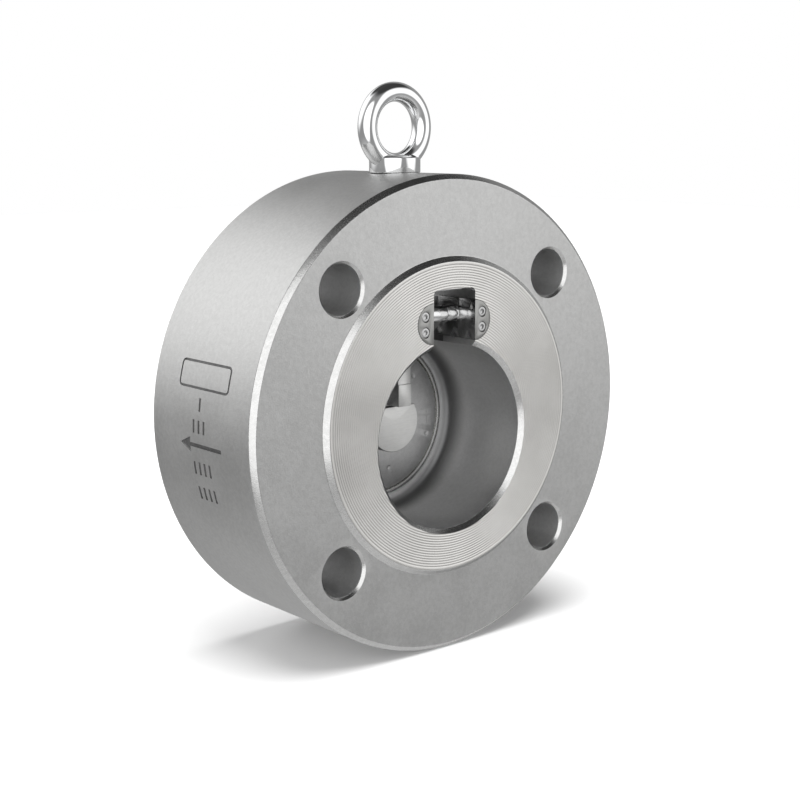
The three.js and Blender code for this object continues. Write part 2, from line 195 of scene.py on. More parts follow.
class Finish:
    """A procedural material, written one node at a time."""

    def __init__(self, name, tree=None):
        if tree is None:
            self.material = bpy.data.materials.new(name)
            self.material.use_nodes = True
            tree = self.material.node_tree
        tree.nodes.clear()
        self.tree = tree

    def node(self, kind, settings=None, sockets=None, out=0):
        node = self.tree.nodes.new(kind)
        for key, value in (settings or {}).items():
            setattr(node, key, value)
        for key, value in (sockets or {}).items():
            feed(self.tree, node.inputs[key], value)
        return Value(self.tree, node.outputs[out])

    def place(self):
        return self.node("ShaderNodeTexCoord", out="Object")

    def parts(self, vector):
        node = self.tree.nodes.new("ShaderNodeSeparateXYZ")
        feed(self.tree, node.inputs[0], vector)
        return [Value(self.tree, socket) for socket in node.outputs]

    def noise(self, vector, scale, detail=2.0, rough=0.5):
        return self.node("ShaderNodeTexNoise", {"noise_dimensions": "3D"}, {
            "Vector": vector, "Scale": scale, "Detail": detail, "Roughness": rough,
        })

    def stretched(self, vector, scale):
        """A vector scaled by a different amount along each axis."""
        return self.node("ShaderNodeVectorMath", {"operation": "MULTIPLY"},
                         {0: vector, 1: scale})

    def rings(self, radius, scale, spare=0.0):
        """Noise that varies with one length only, as turned tool marks do."""
        vector = self.node("ShaderNodeCombineXYZ", None, {0: radius, 1: spare, 2: 0.0})
        return self.noise(vector, scale, 3.0, 0.6)

    def ramp(self, value, low, high, to_low=0.0, to_high=1.0):
        return self.node("ShaderNodeMapRange", {"interpolation_type": "SMOOTHSTEP"}, {
            "Value": value, "From Min": low, "From Max": high,
            "To Min": to_low, "To Max": to_high,
        })

    def mix(self, factor, first, second):
        node = self.tree.nodes.new("ShaderNodeMix")
        node.data_type = "RGBA"
        feed(self.tree, node.inputs[0], factor)
        feed(self.tree, node.inputs[6], first)
        feed(self.tree, node.inputs[7], second)
        return Value(self.tree, node.outputs[2])

    def bump(self, height, depth, strength=1.0, under=None):
        sockets = {"Height": height, "Distance": depth * MM, "Strength": strength}
        if under is not None:
            sockets["Normal"] = under
        return self.node("ShaderNodeBump", None, sockets)

    def shade(self, **sockets):
        """Principled shader on the output; underscores in names stand for spaces."""
        named = {key.replace("_", " "): value for key, value in sockets.items()}
        shader = self.node("ShaderNodeBsdfPrincipled", None, named)
        output = self.tree.nodes.new("ShaderNodeOutputMaterial")
        self.tree.links.new(shader.socket, output.inputs["Surface"])
        return self.material


# ---- finishes ------------------------------------------------------------------------

def blasted_metal(name, dark, light, rough, grain=0.06, corner=None):
    """Bead-blasted or forged metal: fine pits, faint cloudiness, uneven gloss."""
    f = Finish(name)
    at = f.place()
    fine = f.noise(at, 1700.0, 3.0, 0.7)
    coarse = f.noise(at, 620.0, 2.0)
    cloud = f.noise(at, 45.0, 3.0)
    tone = f.ramp(cloud * 0.3 + coarse * 0.3 + fine * 0.4, 0.35, 0.65)
    color = f.mix(tone, dark, light)
    # Painted shade: where a corner mask is given, the colour is darkened there towards a
    # near-black tone.
    if corner:
        color = f.mix(corner(f, at), color, CORNER_SHADE_TONE)
    return f.shade(
        Base_Color=color,
        Metallic=1.0,
        Roughness=f.ramp(fine + cloud, 0.6, 1.4, rough - 0.05, rough + 0.06),
        Normal=f.bump(fine + coarse * 0.6, grain),
    )


# Near-black colour of the painted shade in the chamber's end corner.
CORNER_SHADE_TONE = (0.07, 0.07, 0.072)


def chamber_corner_shade(f, at):
    """Mask of the painted shade that darkens the rounded corner at the chamber's end."""
    x, y, z = f.parts(at)
    radius = x.hypot(z - MOUTH_Z * MM)
    deep = f.ramp(y, -5.0 * MM, 5.5 * MM)
    outward = f.ramp(radius, 32.8 * MM, 35.2 * MM)
    return deep * outward * 0.8


def turned_metal(name, dark, light, rough, axis, centre=(0.0, 0.0), marks=0.004, grain=0.004):
    """Lathe-turned metal: circular tool marks about an axis, plus a little grain."""
    f = Finish(name)
    at = f.place()
    x, y, z = f.parts(at)
    across, other, along = {
        "X": (y, z, x), "Y": (x, z, y), "Z": (x, y, z),
    }[axis]
    radius = (across - centre[0] * MM).hypot(other - centre[1] * MM)
    lines = f.rings(radius, 5200.0)
    bands = f.rings(along, 5200.0, 0.37)
    fine = f.noise(at, 2600.0, 2.0)
    cloud = f.noise(at, 60.0, 3.0)
    tone = f.ramp(cloud * 0.6 + lines * 0.2 + fine * 0.2, 0.35, 0.65)
    ridges = f.bump(lines + bands, marks)
    return f.shade(
        Base_Color=f.mix(tone, dark, light),
        Metallic=1.0,
        Roughness=f.ramp(fine + cloud, 0.6, 1.4, rough - 0.04, rough + 0.05),
        Normal=f.bump(fine, grain, under=ridges),
    )


def ground_metal(name, dark, light, rough, stretch=(60.0, 2200.0, 2200.0), marks=0.004):
    """Ground metal: fine straight scratches along one direction."""
    f = Finish(name)
    at = f.place()
    scratch = f.noise(f.stretched(at, stretch), 1.0, 3.0, 0.7)
    fine = f.noise(at, 2000.0, 2.0)
    cloud = f.noise(at, 90.0, 3.0)
    tone = f.ramp(cloud * 0.5 + scratch * 0.5, 0.35, 0.65)
    return f.shade(
        Base_Color=f.mix(tone, dark, light),
        Metallic=1.0,
        Roughness=f.ramp(scratch + cloud, 0.7, 1.3, rough - 0.04, rough + 0.06),
        Normal=f.bump(scratch + fine * 0.5, marks),
    )


def bright_metal(name, dark, light, rough, waviness=0.01):
    """Polished or plated metal: almost a mirror, with faint smears and waviness."""
    f = Finish(name)
    at = f.place()
    smear = f.noise(at, 150.0, 4.0, 0.6)
    wave = f.noise(at, 220.0, 1.0)
    fine = f.noise(at, 3500.0, 1.0)
    return f.shade(
        Base_Color=f.mix(f.ramp(smear, 0.35, 0.65), dark, light),
        Metallic=1.0,
        Roughness=f.ramp(smear, 0.3, 0.7, rough * 0.7, rough * 1.5),
        Normal=f.bump(wave + fine * 0.05, waviness),
    )


def rubber(name):
    f = Finish(name)
    at = f.place()
    fine = f.noise(at, 1500.0, 3.0)
    return f.shade(
        Base_Color=f.mix(fine, (0.012, 0.012, 0.013), (0.03, 0.03, 0.032)),
        Roughness=f.ramp(fine, 0.3, 0.7, 0.55, 0.75),
        Normal=f.bump(fine, 0.02),
    )


FORGED = blasted_metal("blasted_steel", (0.50, 0.50, 0.495), (0.60, 0.60, 0.595), 0.42)
EDGE = blasted_metal("edge_steel", (0.54, 0.54, 0.535), (0.66, 0.66, 0.655), 0.24, 0.03)
FACING = turned_metal("facing_steel", (0.65, 0.64, 0.62), (0.73, 0.72, 0.70), 0.32, "Y")
# The bore's own tone, plus painted shade darkening the chamber's end corner.
BORE = blasted_metal("bore_steel_with_corner_shade", (0.66, 0.66, 0.66), (0.75, 0.75, 0.75), 0.44, 0.04,
                     chamber_corner_shade)
HOLE = blasted_metal("drilled_steel", (0.66, 0.66, 0.66), (0.76, 0.76, 0.76), 0.5, 0.02)
CAST = blasted_metal("cast_steel", (0.38, 0.38, 0.38), (0.47, 0.47, 0.47), 0.42, 0.05)
SEAT = turned_metal("seat_steel", (0.50, 0.50, 0.49), (0.60, 0.60, 0.59), 0.24, "Y",
                    (0.0, DISC_Z))
MILLED = ground_metal("milled_steel", (0.56, 0.56, 0.55), (0.64, 0.64, 0.63), 0.36,
                      (300.0, 2000.0, 2000.0), 0.003)
KEEPER = ground_metal("ground_steel", (0.31, 0.31, 0.30), (0.39, 0.39, 0.38), 0.32,
                      (2000.0, 2000.0, 70.0))
SLOT = blasted_metal("slot_steel", (0.32, 0.32, 0.32), (0.40, 0.40, 0.40), 0.34, 0.02)
# Near-black painted shade for the floors of the engraved marks.
MARK_SHADE = blasted_metal("mark_recess_shade", (0.14, 0.14, 0.14), (0.24, 0.24, 0.24), 0.5, 0.03)
WALL = bright_metal("wall_steel", (0.60, 0.60, 0.60), (0.68, 0.68, 0.68), 0.15, 0.0004)
PIN = bright_metal("pin_steel", (0.72, 0.72, 0.72), (0.80, 0.80, 0.80), 0.17, 0.0006)
SCREW = bright_metal("screw_steel", (0.42, 0.42, 0.42), (0.54, 0.54, 0.54), 0.2)
SPRING = bright_metal("spring_steel", (0.30, 0.30, 0.31), (0.40, 0.40, 0.41), 0.24)
CHROME = bright_metal("chromed_steel", (0.78, 0.785, 0.79), (0.86, 0.865, 0.87), 0.04, 0.004)
BRONZE = turned_metal("bronze", (0.50, 0.33, 0.16), (0.62, 0.43, 0.22), 0.3, "X",
                      (PIN_Y, PIN_Z))
RUBBER = rubber("seal_rubber")


# ---- mesh making ---------------------------------------------------------------------

def closed_piece(name, mesh):
    """A piece of the mesh, with its doubled points merged and its faces turned outward."""
    work = bmesh.new()
    work.from_mesh(mesh)
    bmesh.ops.remove_doubles(work, verts=work.verts, dist=1e-7)
    bmesh.ops.recalc_face_normals(work, faces=work.faces)
    work.to_mesh(mesh)
    work.free()
    piece = bpy.data.objects.new(name, mesh)
    bpy.context.scene.collection.objects.link(piece)
    return piece


def piece_from(name, points, faces):
    """A piece from points in millimetres and its faces."""
    mesh = bpy.data.meshes.new(name)
    mesh.from_pydata([Vector(p) * MM for p in points], [], faces)
    return closed_piece(name, mesh)


def turned(name, profile, sides, axis="Y", at=(0.0, 0.0), closed=False):
    """A profile of (radius, position) points turned about an axis through the point at."""
    rings = []
    points = []
    for radius, along in profile:
        count = sides if radius > 1e-6 else 1
        rings.append(list(range(len(points), len(points) + count)))
        for i in range(count):
            a = 2 * math.pi * i / sides
            u = at[0] + radius * math.cos(a)
            v = at[1] + radius * math.sin(a)
            points.append({"X": (along, u, v), "Y": (u, along, v), "Z": (u, v, along)}[axis])
    faces = []
    pairs = list(zip(rings, rings[1:]))
    if closed:
        pairs.append((rings[-1], rings[0]))
    for low, high in pairs:
        if len(low) == 1 and len(high) == 1:
            continue
        for i in range(sides):
            j = (i + 1) % sides
            if len(low) == 1:
                faces.append((low[0], high[i], high[j]))
            elif len(high) == 1:
                faces.append((low[i], low[j], high[0]))
            else:
                faces.append((low[i], low[j], high[j], high[i]))
    return piece_from(name, points, faces)


def eased(profile, size, steps=2, closed=False):
    """The same profile with every corner rounded; a point may give its own size third."""
    result = []
    count = len(profile)
    for i, corner in enumerate(profile):
        here = Vector(corner[:2])
        reach = corner[2] if len(corner) > 2 else size
        if (not closed and i in (0, count - 1)) or reach <= 0:
            result.append(tuple(here))
            continue
        before = Vector(profile[i - 1][:2]) - here
        after = Vector(profile[(i + 1) % count][:2]) - here
        cut = min(reach, before.length * 0.45, after.length * 0.45)
        start = here + before.normalized() * cut
        end = here + after.normalized() * cut
        for k in range(steps + 1):
            t = k / steps
            result.append(tuple(start * (1 - t) ** 2 + here * (2 * t * (1 - t)) + end * t ** 2))
    return result


def pushed(name, outline, axis, low, high):
    """An outline pushed along Y (points are x, z) or along X (points are y, z)."""
    count = len(outline)
    points = []
    for along in (low, high):
        for u, v in outline:
            points.append((u, along, v) if axis == "Y" else (along, u, v))
    faces = [tuple(range(count)), tuple(range(count, 2 * count))]
    for i in range(count):
        j = (i + 1) % count
        faces.append((i, j, count + j, count + i))
    return piece_from(name, points, faces)


def block(name, x0, x1, y0, y1, z0, z1):
    return pushed(name, [(x0, z0), (x1, z0), (x1, z1), (x0, z1)], "Y", y0, y1)


def settle(piece):
    """Applies the piece's modifiers to its mesh."""
    bpy.context.view_layer.update()
    graph = bpy.context.evaluated_depsgraph_get()
    mesh = bpy.data.meshes.new_from_object(piece.evaluated_get(graph))
    piece.modifiers.clear()
    old = piece.data
    piece.data = mesh
    mesh.name = old.name
    bpy.data.meshes.remove(old)
    return piece


def combine(piece, tools, operation="DIFFERENCE"):
    """Cuts the tools from the piece, or joins or intersects them, and discards them."""
    for tool in tools:
        step = piece.modifiers.new("combine", "BOOLEAN")
        step.operation = operation
        step.solver = "MANIFOLD"
        step.object = tool
    settle(piece)
    for tool in tools:
        bpy.data.objects.remove(tool)
    return piece


def soften(piece, width, angle=40.0, segments=2):
    """Small rounded edges wherever two faces meet at more than an angle in degrees."""
    step = piece.modifiers.new("soften", "BEVEL")
    step.width = width * MM
    step.segments = segments
    step.limit_method = "ANGLE"
    step.angle_limit = math.radians(angle)
    step.use_clamp_overlap = True
    return settle(piece)


def paint(piece, *materials, choose=None):
    """Gives a piece its materials; choose picks one by a face's middle and direction."""
    mesh = piece.data
    mesh.materials.clear()
    for material in materials:
        mesh.materials.append(material)
    for face in mesh.polygons:
        face.use_smooth = True
        if choose:
            face.material_index = choose(face.center / MM, face.normal)
        else:
            face.material_index = 0
    mesh.set_sharp_from_angle(angle=math.radians(SHARP_ANGLE))
    return piece


def fit(piece, body, slot, *nodes):
    """Says which CAD body carries a piece and the nodes it stands for; the material slot it is
    given is not used.
    """
    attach(piece, body)
    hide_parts(*nodes)
    return piece


def arc(cx, cy, radius, start, end, steps):
    """Points on an arc, with angles in degrees."""
    points = []
    for i in range(steps + 1):
        a = math.radians(start + (end - start) * i / steps)
        points.append((cx + radius * math.cos(a), cy + radius * math.sin(a)))
    return points


# ---- body ----------------------------------------------------------------------------

def grooves(start, end):
    """Profile of a serrated face from one radius to a larger one, as (radius, depth)."""
    count = int((end - start) / GROOVE_PITCH)
    points = []
    for k in range(count):
        r = end - (count - k) * GROOVE_PITCH
        points += [(r, 0.0), (r + 0.3 * GROOVE_PITCH, 0.0),
                   (r + 0.65 * GROOVE_PITCH, GROOVE_DEPTH)]
    return points


def side_profile(first_groove):
    """Half of the body's profile, from the axis out to the rim, on the outlet side."""
    flat = [(r, -FACE + depth) for r, depth in grooves(first_groove, RAISED_R - 1.0)]
    edge = eased([
        (RAISED_R - 1.0, -FACE, 0.0),
        (RAISED_R, -FACE),
        (RAISED_FOOT_R, -FLANGE_HALF),
        (FLANGE_R - RIM_EDGE, -FLANGE_HALF),
        (FLANGE_R, -FLANGE_HALF + RIM_EDGE),
        (FLANGE_R, 0.0),
    ], 0.3, 3)
    return [(0.0, -FACE)] + flat + edge


def body_blank():
    outlet = side_profile(27.0)
    inlet = [(r, -y) for r, y in side_profile(39.0)][:-1]
    return turned("forged_body", outlet + inlet[::-1], ROUND)


def bolt_holes():
    at = BOLT_PCR * math.sqrt(0.5)
    end = FLANGE_HALF
    wide = BOLT_R + BOLT_SINK
    half = eased([
        (wide + 1.0, -end - 1.0, 0.0),
        (BOLT_R, -end + BOLT_SINK),
        (BOLT_R, 0.0, 0.0),
    ], 0.25)
    profile = [(0.0, -end - 1.0)] + half + [(r, -y) for r, y in half[:-1]][::-1]
    profile.append((0.0, end + 1.0))
    holes = []
    for x in (-at, at):
        for z in (-at, at):
            holes.append(turned("hole", profile, 72, "Y", (x, z)))
    return holes


def chamber():
    fillet = arc(MOUTH_R - CORNER_R, DISC_FACE_Y - CORNER_R, CORNER_R, 0, 90, 8)
    mouth = eased([
        (MOUTH_R + MOUTH_BEVEL + 1.0, -FACE - 1.0, 0.0),
        (MOUTH_R, -FACE + MOUTH_BEVEL),
        (MOUTH_R, -20.0, 0.0),
    ], 0.25)
    profile = [(0.0, -FACE - 1.0)] + mouth + fillet + [(0.0, DISC_FACE_Y)]
    return turned("chamber", profile, ROUND, "Y", (0.0, MOUTH_Z))


def plug(r0, y0, r1, y1, sides=ROUND, x=0.0, z=0.0):
    return turned("plug", [(0.0, y0), (r0, y0), (r1, y1), (0.0, y1)], sides, "Y", (x, z))


def inlet_port():
    """A cone whose centre line climbs from the seat to the pipe axis."""
    y0 = SEAT_BACK + 1.0
    points = []
    for y, r, z in ((y0, SEAT_R, DISC_Z), (FACE, INLET_R, 0.0)):
        for u, v in arc(0.0, z, r, 0, 360 - 360 / ROUND, ROUND - 1):
            points.append((u, y, v))
    faces = [tuple(range(ROUND)), tuple(range(ROUND, 2 * ROUND))]
    for i in range(ROUND):
        j = (i + 1) % ROUND
        faces.append((i, j, ROUND + j, ROUND + i))
    return piece_from("port", points, faces)


def slot_outline():
    r = 2.0
    outline = [(SLOT_HALF, SLOT_FLOOR)]
    outline += arc(SLOT_HALF - r, SLOT_TOP - r, r, 0, 90, 8)
    outline += arc(-SLOT_HALF + r, SLOT_TOP - r, r, 90, 180, 8)
    outline.append((-SLOT_HALF, SLOT_FLOOR))
    return outline


def oval_outline(half, radius):
    straight = half - radius
    return (arc(straight, RECESS_Z, radius, -90, 90, 28)
            + arc(-straight, RECESS_Z, radius, 90, 270, 28))


def eye_seat():
    r = EYE_COLLAR_R + 0.7
    return turned("spotface", [
        (0.0, 79.6), (4.2, 79.6), (4.2, EYE_SEAT_Z - 0.2), (r, EYE_SEAT_Z - 0.2),
        (r, 98.0), (0.0, 98.0),
    ], 72, "Z")


def pad_outline(radius):
    """Outline of the blank stamping pad; the radius of its corners also sets its size."""
    return (arc(13.5, 25.0, radius, 0, 90, 5) + arc(-16.0, 25.0, radius, 90, 180, 5)
            + arc(-16.0, 18.6, radius, 180, 270, 5) + arc(13.5, 18.6, radius, 270, 360, 5))


def engraved_marks():
    """A flow arrow, a framed blank pad and rows of plain strokes on the left side."""
    depth_r = FLANGE_R - MARK_DEPTH
    arrow = [(13.0, -4.6), (6.4, -7.6), (6.4, -5.4), (-14.5, -5.4), (-14.5, -3.9),
             (6.4, -3.9), (6.4, -1.7)]
    outlines = [arrow]
    rows = [(11.0, 1, 0.0), (2.6, 3, 0.3), (-13.6, 4, -0.4), (-23.6, 4, -0.6)]
    for middle, count, shift in rows:
        for i in range(count):
            y = shift + (i - (count - 1) / 2) * 3.4
            outlines.append([(y - 0.6, middle - 2.5), (y + 0.6, middle - 2.5),
                             (y + 0.6, middle + 2.5), (y - 0.6, middle + 2.5)])
    tools = [pushed("stamp", outline, "X", -FLANGE_R - 1.0, -70.0) for outline in outlines]
    frame_line = pushed("stamp", pad_outline(2.0), "X", -FLANGE_R - 1.0, -70.0)
    combine(frame_line, [pushed("stamp", pad_outline(1.1), "X", -FLANGE_R - 2.0, -60.0)])
    stamp = tools[0]
    combine(stamp, tools[1:] + [frame_line], "UNION")
    core = turned("core", [(0.0, -40.0), (depth_r, -40.0), (depth_r, 40.0), (0.0, 40.0)],
                  ROUND)
    return combine(stamp, [core])


ON_RIM, ON_EDGE, ON_FACE, IN_CHAMBER, IN_HOLE, IN_MARK, IN_SLOT = range(7)
BODY_FINISHES = (FORGED, EDGE, FACING, BORE, HOLE, MARK_SHADE, SLOT)


def body_region(at, normal):
    """Place in BODY_FINISHES of the finish that a face of the body has."""
    radius = math.hypot(at.x, at.z)
    outer = abs(normal.y)
    # Floors of the engraved marks take the painted shade of the recess.
    if at.x < -80.0 and radius < FLANGE_R - 0.2 and outer < 0.3 and radius > 90.0:
        return IN_MARK
    if radius > FLANGE_R - 0.6 and outer < 0.3:
        return ON_RIM
    if abs(at.y) > FLANGE_HALF - 2.4 and 0.3 < outer < 0.93:
        return ON_EDGE
    if abs(at.y) > FACE - 0.3 and outer > 0.9:
        return ON_FACE
    if radius > RAISED_R - 0.5 and outer > 0.9:
        return ON_RIM
    if radius > 60.0:
        return IN_HOLE
    if at.z > SLOT_FLOOR + 8.0 and abs(at.x) < SLOT_HALF + 0.2 and at.y < SLOT_BACK_Y + 0.2:
        return IN_SLOT
    return IN_CHAMBER


def make_body():
    body = body_blank()
    half = SLOT_HALF
    tools = bolt_holes()
    tools += [
        chamber(),
        plug(SEAT_OUT + GAP, DISC_FACE_Y - 1.0, SEAT_OUT + GAP, SEAT_BACK, z=DISC_Z),
        plug(SEAT_R, SEAT_BACK - 1.0, SEAT_R, SEAT_BACK + 2.0, z=DISC_Z),
        inlet_port(),
        plug(INLET_R - 1.0, FACE - 1.0, INLET_R + MOUTH_BEVEL + 1.0, FACE + 1.0),
        pushed("slot", slot_outline(), "Y", -FACE - 1.0, SLOT_Y),
        block("slot", -half, half, -FACE, HEEL_STOP_Y, SLOT_FLOOR, SLOT_STEP_Z),
        block("slot", -half, half, -FACE, SLOT_BACK_Y, SLOT_FLOOR, PIN_Z + 1.0),
        pushed("recess", oval_outline(RECESS_HALF, RECESS_R), "Y", -FACE - 1.0, RECESS_Y),
        eye_seat(),
        engraved_marks(),
    ]
    combine(body, tools)
    paint(body, *BODY_FINISHES, choose=body_region)
    return fit(body, "valve_body", "blasted_steel", "body")


# ---- seat and disc -------------------------------------------------------------------

def make_seat_ring():
    lip = DISC_R + 0.55
    front = DISC_FACE_Y
    depth = lip - SEAT_R
    groove = SEAT_OUT - 2.6
    profile = eased([
        (SEAT_R, front + 0.75 + depth), (lip, front + 0.75), (lip + 0.3, front),
        (SEAT_OUT, front), (SEAT_OUT, SEAT_BACK - 3.0), (groove, SEAT_BACK - 3.0),
        (groove, SEAT_BACK - GAP), (SEAT_R, SEAT_BACK - GAP),
    ], 0.15, 2, True)
    ring = turned("seat_insert", profile, ROUND, "Y", (0.0, DISC_Z), True)
    paint(ring, SEAT)
    return fit(ring, "valve_body", "machined_steel", "seat_ring")


def make_disc():
    cone_end = DISC_FACE_Y + DISC_RIM + (DISC_R - SEAT_R - 0.4)
    bore = STUD_R + GAP
    profile = eased([
        (bore, DISC_FACE_Y), (DISC_R, DISC_FACE_Y), (DISC_R, DISC_FACE_Y + DISC_RIM),
        (SEAT_R + 0.4, cone_end), (SEAT_R - 1.0, cone_end + 0.4),
        (SEAT_R - 2.0, DISC_FACE_Y + DISC_T), (19.0, DISC_FACE_Y + DISC_T, 0.0),
        (18.2, DISC_FACE_Y + DISC_T - 0.7), (13.2, DISC_FACE_Y + DISC_T - 0.7),
        (12.4, DISC_FACE_Y + DISC_T, 0.0), (bore, DISC_FACE_Y + DISC_T),
    ], 0.2, 2, True)
    disc = turned("clapper_disc", profile, ROUND, "Y", (0.0, DISC_Z), True)
    dots = []
    for x, z in ((24.9, -16.6), (4.0, -28.6), (-22.0, -20.0), (17.5, 9.0), (-16.0, 11.5)):
        dots.append(turned("dot", [
            (0.0, DISC_FACE_Y - 0.5), (1.05, DISC_FACE_Y - 0.5), (1.05, DISC_FACE_Y + 0.05),
            (0.5, DISC_FACE_Y + 0.35), (0.0, DISC_FACE_Y + 0.4),
        ], 24, "Y", (x, z)))
    for z0, z1 in ((-12.7, -9.1), (-8.0, -6.2)):
        dots.append(block("scribe", 24.6, 24.95, DISC_FACE_Y - 0.5, DISC_FACE_Y + 0.18, z0, z1))
    combine(disc, dots)
    paint(disc, CAST, SEAT, choose=lambda at, n: 1 if abs(n.y) < 0.9 and at.y > 9.2 else 0)
    return fit(disc, "disc", "cast_steel", "disc")


# ---- disc fasteners on the inlet side --------------------------------------------------

def make_washer():
    bore = STUD_R + GAP
    profile = eased([
        (bore, WASHER_Y), (9.5, WASHER_Y), (9.5, WASHER_Y + WASHER_T), (bore, WASHER_Y + WASHER_T),
    ], 0.25, 2, True)
    washer = turned("stud_washer", profile, MEDIUM, "Y", (0.0, DISC_Z), True)
    paint(washer, SEAT)
    return fit(washer, "swing_arm", "machined_steel", "disc_washer")


def make_nut():
    y0, y1 = NUT_Y, NUT_Y + NUT_T
    hexagon = arc(0.0, DISC_Z, NUT_R, 0, 300, 5)
    nut = pushed("stud_nut", hexagon, "Y", y0, y1)
    rounding = turned("rounding", [
        (0.0, y0), (7.7, y0), (NUT_R, y0 + 0.7), (NUT_R, y1 - 0.7), (7.7, y1), (0.0, y1),
    ], MEDIUM, "Y", (0.0, DISC_Z))
    combine(nut, [rounding], "INTERSECT")
    bore = STUD_R + GAP
    hole = turned("hole", [
        (0.0, y0 - 1.0), (bore + 1.6, y0 - 1.0), (bore, y0 + 0.6), (bore, y1 - 0.6),
        (bore + 1.6, y1 + 1.0), (0.0, y1 + 1.0),
    ], MEDIUM, "Y", (0.0, DISC_Z))
    combine(nut, [hole])
    paint(nut, SEAT)
    return fit(nut, "swing_arm", "machined_steel", "disc_nut")


def wire(name, points, radius, cyclic=False):
    """A round wire through the points, turned into a mesh."""
    data = bpy.data.curves.new(name, "CURVE")
    data.dimensions = "3D"
    data.bevel_depth = radius * MM
    data.bevel_resolution = 5
    data.use_fill_caps = True
    data.resolution_u = 6
    spline = data.splines.new("BEZIER")
    spline.bezier_points.add(len(points) - 1)
    for knot, point in zip(spline.bezier_points, points):
        knot.co = Vector(point) * MM
        knot.handle_left_type = "AUTO"
        knot.handle_right_type = "AUTO"
    spline.use_cyclic_u = cyclic
    curve = bpy.data.objects.new(name + "_path", data)
    bpy.context.scene.collection.objects.link(curve)
    bpy.context.view_layer.update()
    graph = bpy.context.evaluated_depsgraph_get()
    mesh = bpy.data.meshes.new_from_object(curve.evaluated_get(graph))
    bpy.data.objects.remove(curve)
    return closed_piece(name, mesh)


def make_lock_pin():
    """A split pin: two legs through the stud, a loop at one end, the tips bent apart."""
    y, z = LOCK_PIN_Y, DISC_Z
    loop = [(6.4 + 1.0 * math.cos(a), y, z + 1.25 * math.sin(a))
            for a in [math.radians(d) for d in (115, 60, 0, -60, -115)]]
    path = [(-7.2, y, z + 1.3), (-6.0, y, z + 0.75), (-4.5, y, z + 0.5), (4.6, y, z + 0.5)]
    path += loop
    path += [(4.6, y, z - 0.5), (-4.5, y, z - 0.5), (-5.6, y, z - 0.75), (-6.6, y, z - 1.3)]
    pin = wire("split_pin", path, 0.46)
    paint(pin, SCREW)
    return fit(pin, "swing_arm", "polished_steel", "nut_lock_pin")


# ---- hinge arm -----------------------------------------------------------------------

def stud_profile():
    """Plain shank through the disc, then a thread up to the chamfered end."""
    profile = [(0.0, HUB_BACK_Y - 1.0), (STUD_R, HUB_BACK_Y - 1.0), (STUD_R, 17.5)]
    pitch = 1.25
    y = 17.6
    while y < STUD_END_Y - 1.6:
        profile += [(STUD_R - 0.7, y + 0.5 * pitch), (STUD_R, y + 0.9 * pitch),
                    (STUD_R, y + pitch)]
        y += pitch
    profile += [(STUD_R - 1.0, STUD_END_Y), (0.0, STUD_END_Y)]
    return profile


def make_arm():
    hub = turned("hinge_lever", eased([
        (0.0, HUB_FACE_Y, 0.0), (HUB_R, HUB_FACE_Y), (HUB_R, HUB_BACK_Y), (0.0, HUB_BACK_Y, 0.0),
    ], 0.45, 3), MEDIUM, "Y", (0.0, DISC_Z))
    combine(hub, [block("step", -HUB_R - 1, HUB_R + 1, HUB_FACE_Y - 1, WEB_Y, -0.9, 20)])
    soften(hub, 0.3)
    rib = pushed("rib", [
        (WEB_Y + 1, 0.2), (RIB_FACE_Y, 0.2), (RIB_FACE_Y, 9.3), (RIB_FACE_Y + 0.4, 9.3),
        (RIB_FACE_Y + 0.4, 19), (PIN_Y - 2, PIN_Z - 2.4), (PIN_Y + 2.4, PIN_Z + 2.2),
        (WEB_Y - 2.5, 24), (WEB_Y + 1, 18),
    ], "X", -RIB_HALF, RIB_HALF)
    soften(rib, 0.35)
    web = pushed("web", [
        (HUB_BACK_Y, 0), (WEB_Y, 0), (WEB_Y, 10), (WEB_Y - 4.5, 18), (WEB_Y - 2.5, 22),
        (WEB_Y + 1, 17), (HUB_BACK_Y, 5),
    ], "X", -WEB_HALF, WEB_HALF)
    soften(web, 0.5)
    heel = pushed("heel", [
        (PIN_Y - HEEL_HALF_Y, PIN_Z), (PIN_Y - HEEL_HALF_Y, PIN_Z + HEEL_HEIGHT),
        (PIN_Y + HEEL_HALF_Y, PIN_Z + HEEL_HEIGHT), (PIN_Y + HEEL_HALF_Y, PIN_Z),
    ], "X", *HEEL_X)
    soften(heel, 0.3)
    knuckle = turned("knuckle", eased([
        (0.0, -KNUCKLE_HALF, 0.0), (KNUCKLE_R, -KNUCKLE_HALF), (KNUCKLE_R, KNUCKLE_HALF),
        (0.0, KNUCKLE_HALF, 0.0),
    ], 0.3), MEDIUM, "X", (PIN_Y, PIN_Z))
    stud = turned("stud", stud_profile(), MEDIUM, "Y", (0.0, DISC_Z))
    combine(hub, [stud, web, rib, heel, knuckle], "UNION")
    bore = turned("bore", [
        (0.0, -6.5), (BUSH_R + 0.05, -6.5), (BUSH_R + 0.05, 6.5), (0.0, 6.5),
    ], MEDIUM, "X", (PIN_Y, PIN_Z))
    cross = turned("cross", [(0.0, -9.0), (1.2, -9.0), (1.2, 9.0), (0.0, 9.0)], SMALL, "X",
                   (LOCK_PIN_Y, DISC_Z))
    combine(hub, [bore, cross])

    def region(at, normal):
        near_pin = math.hypot(at.y - PIN_Y, at.z - PIN_Z) < KNUCKLE_R + 0.2
        if near_pin:
            return 1
        if normal.y < -0.8 and at.y < 0.6:
            return 0
        return 2

    paint(hub, MILLED, PIN, CAST, choose=region)
    return fit(hub, "swing_arm", "machined_steel", "hinge_arm")


# ---- hinge pin, sleeves and spring -----------------------------------------------------

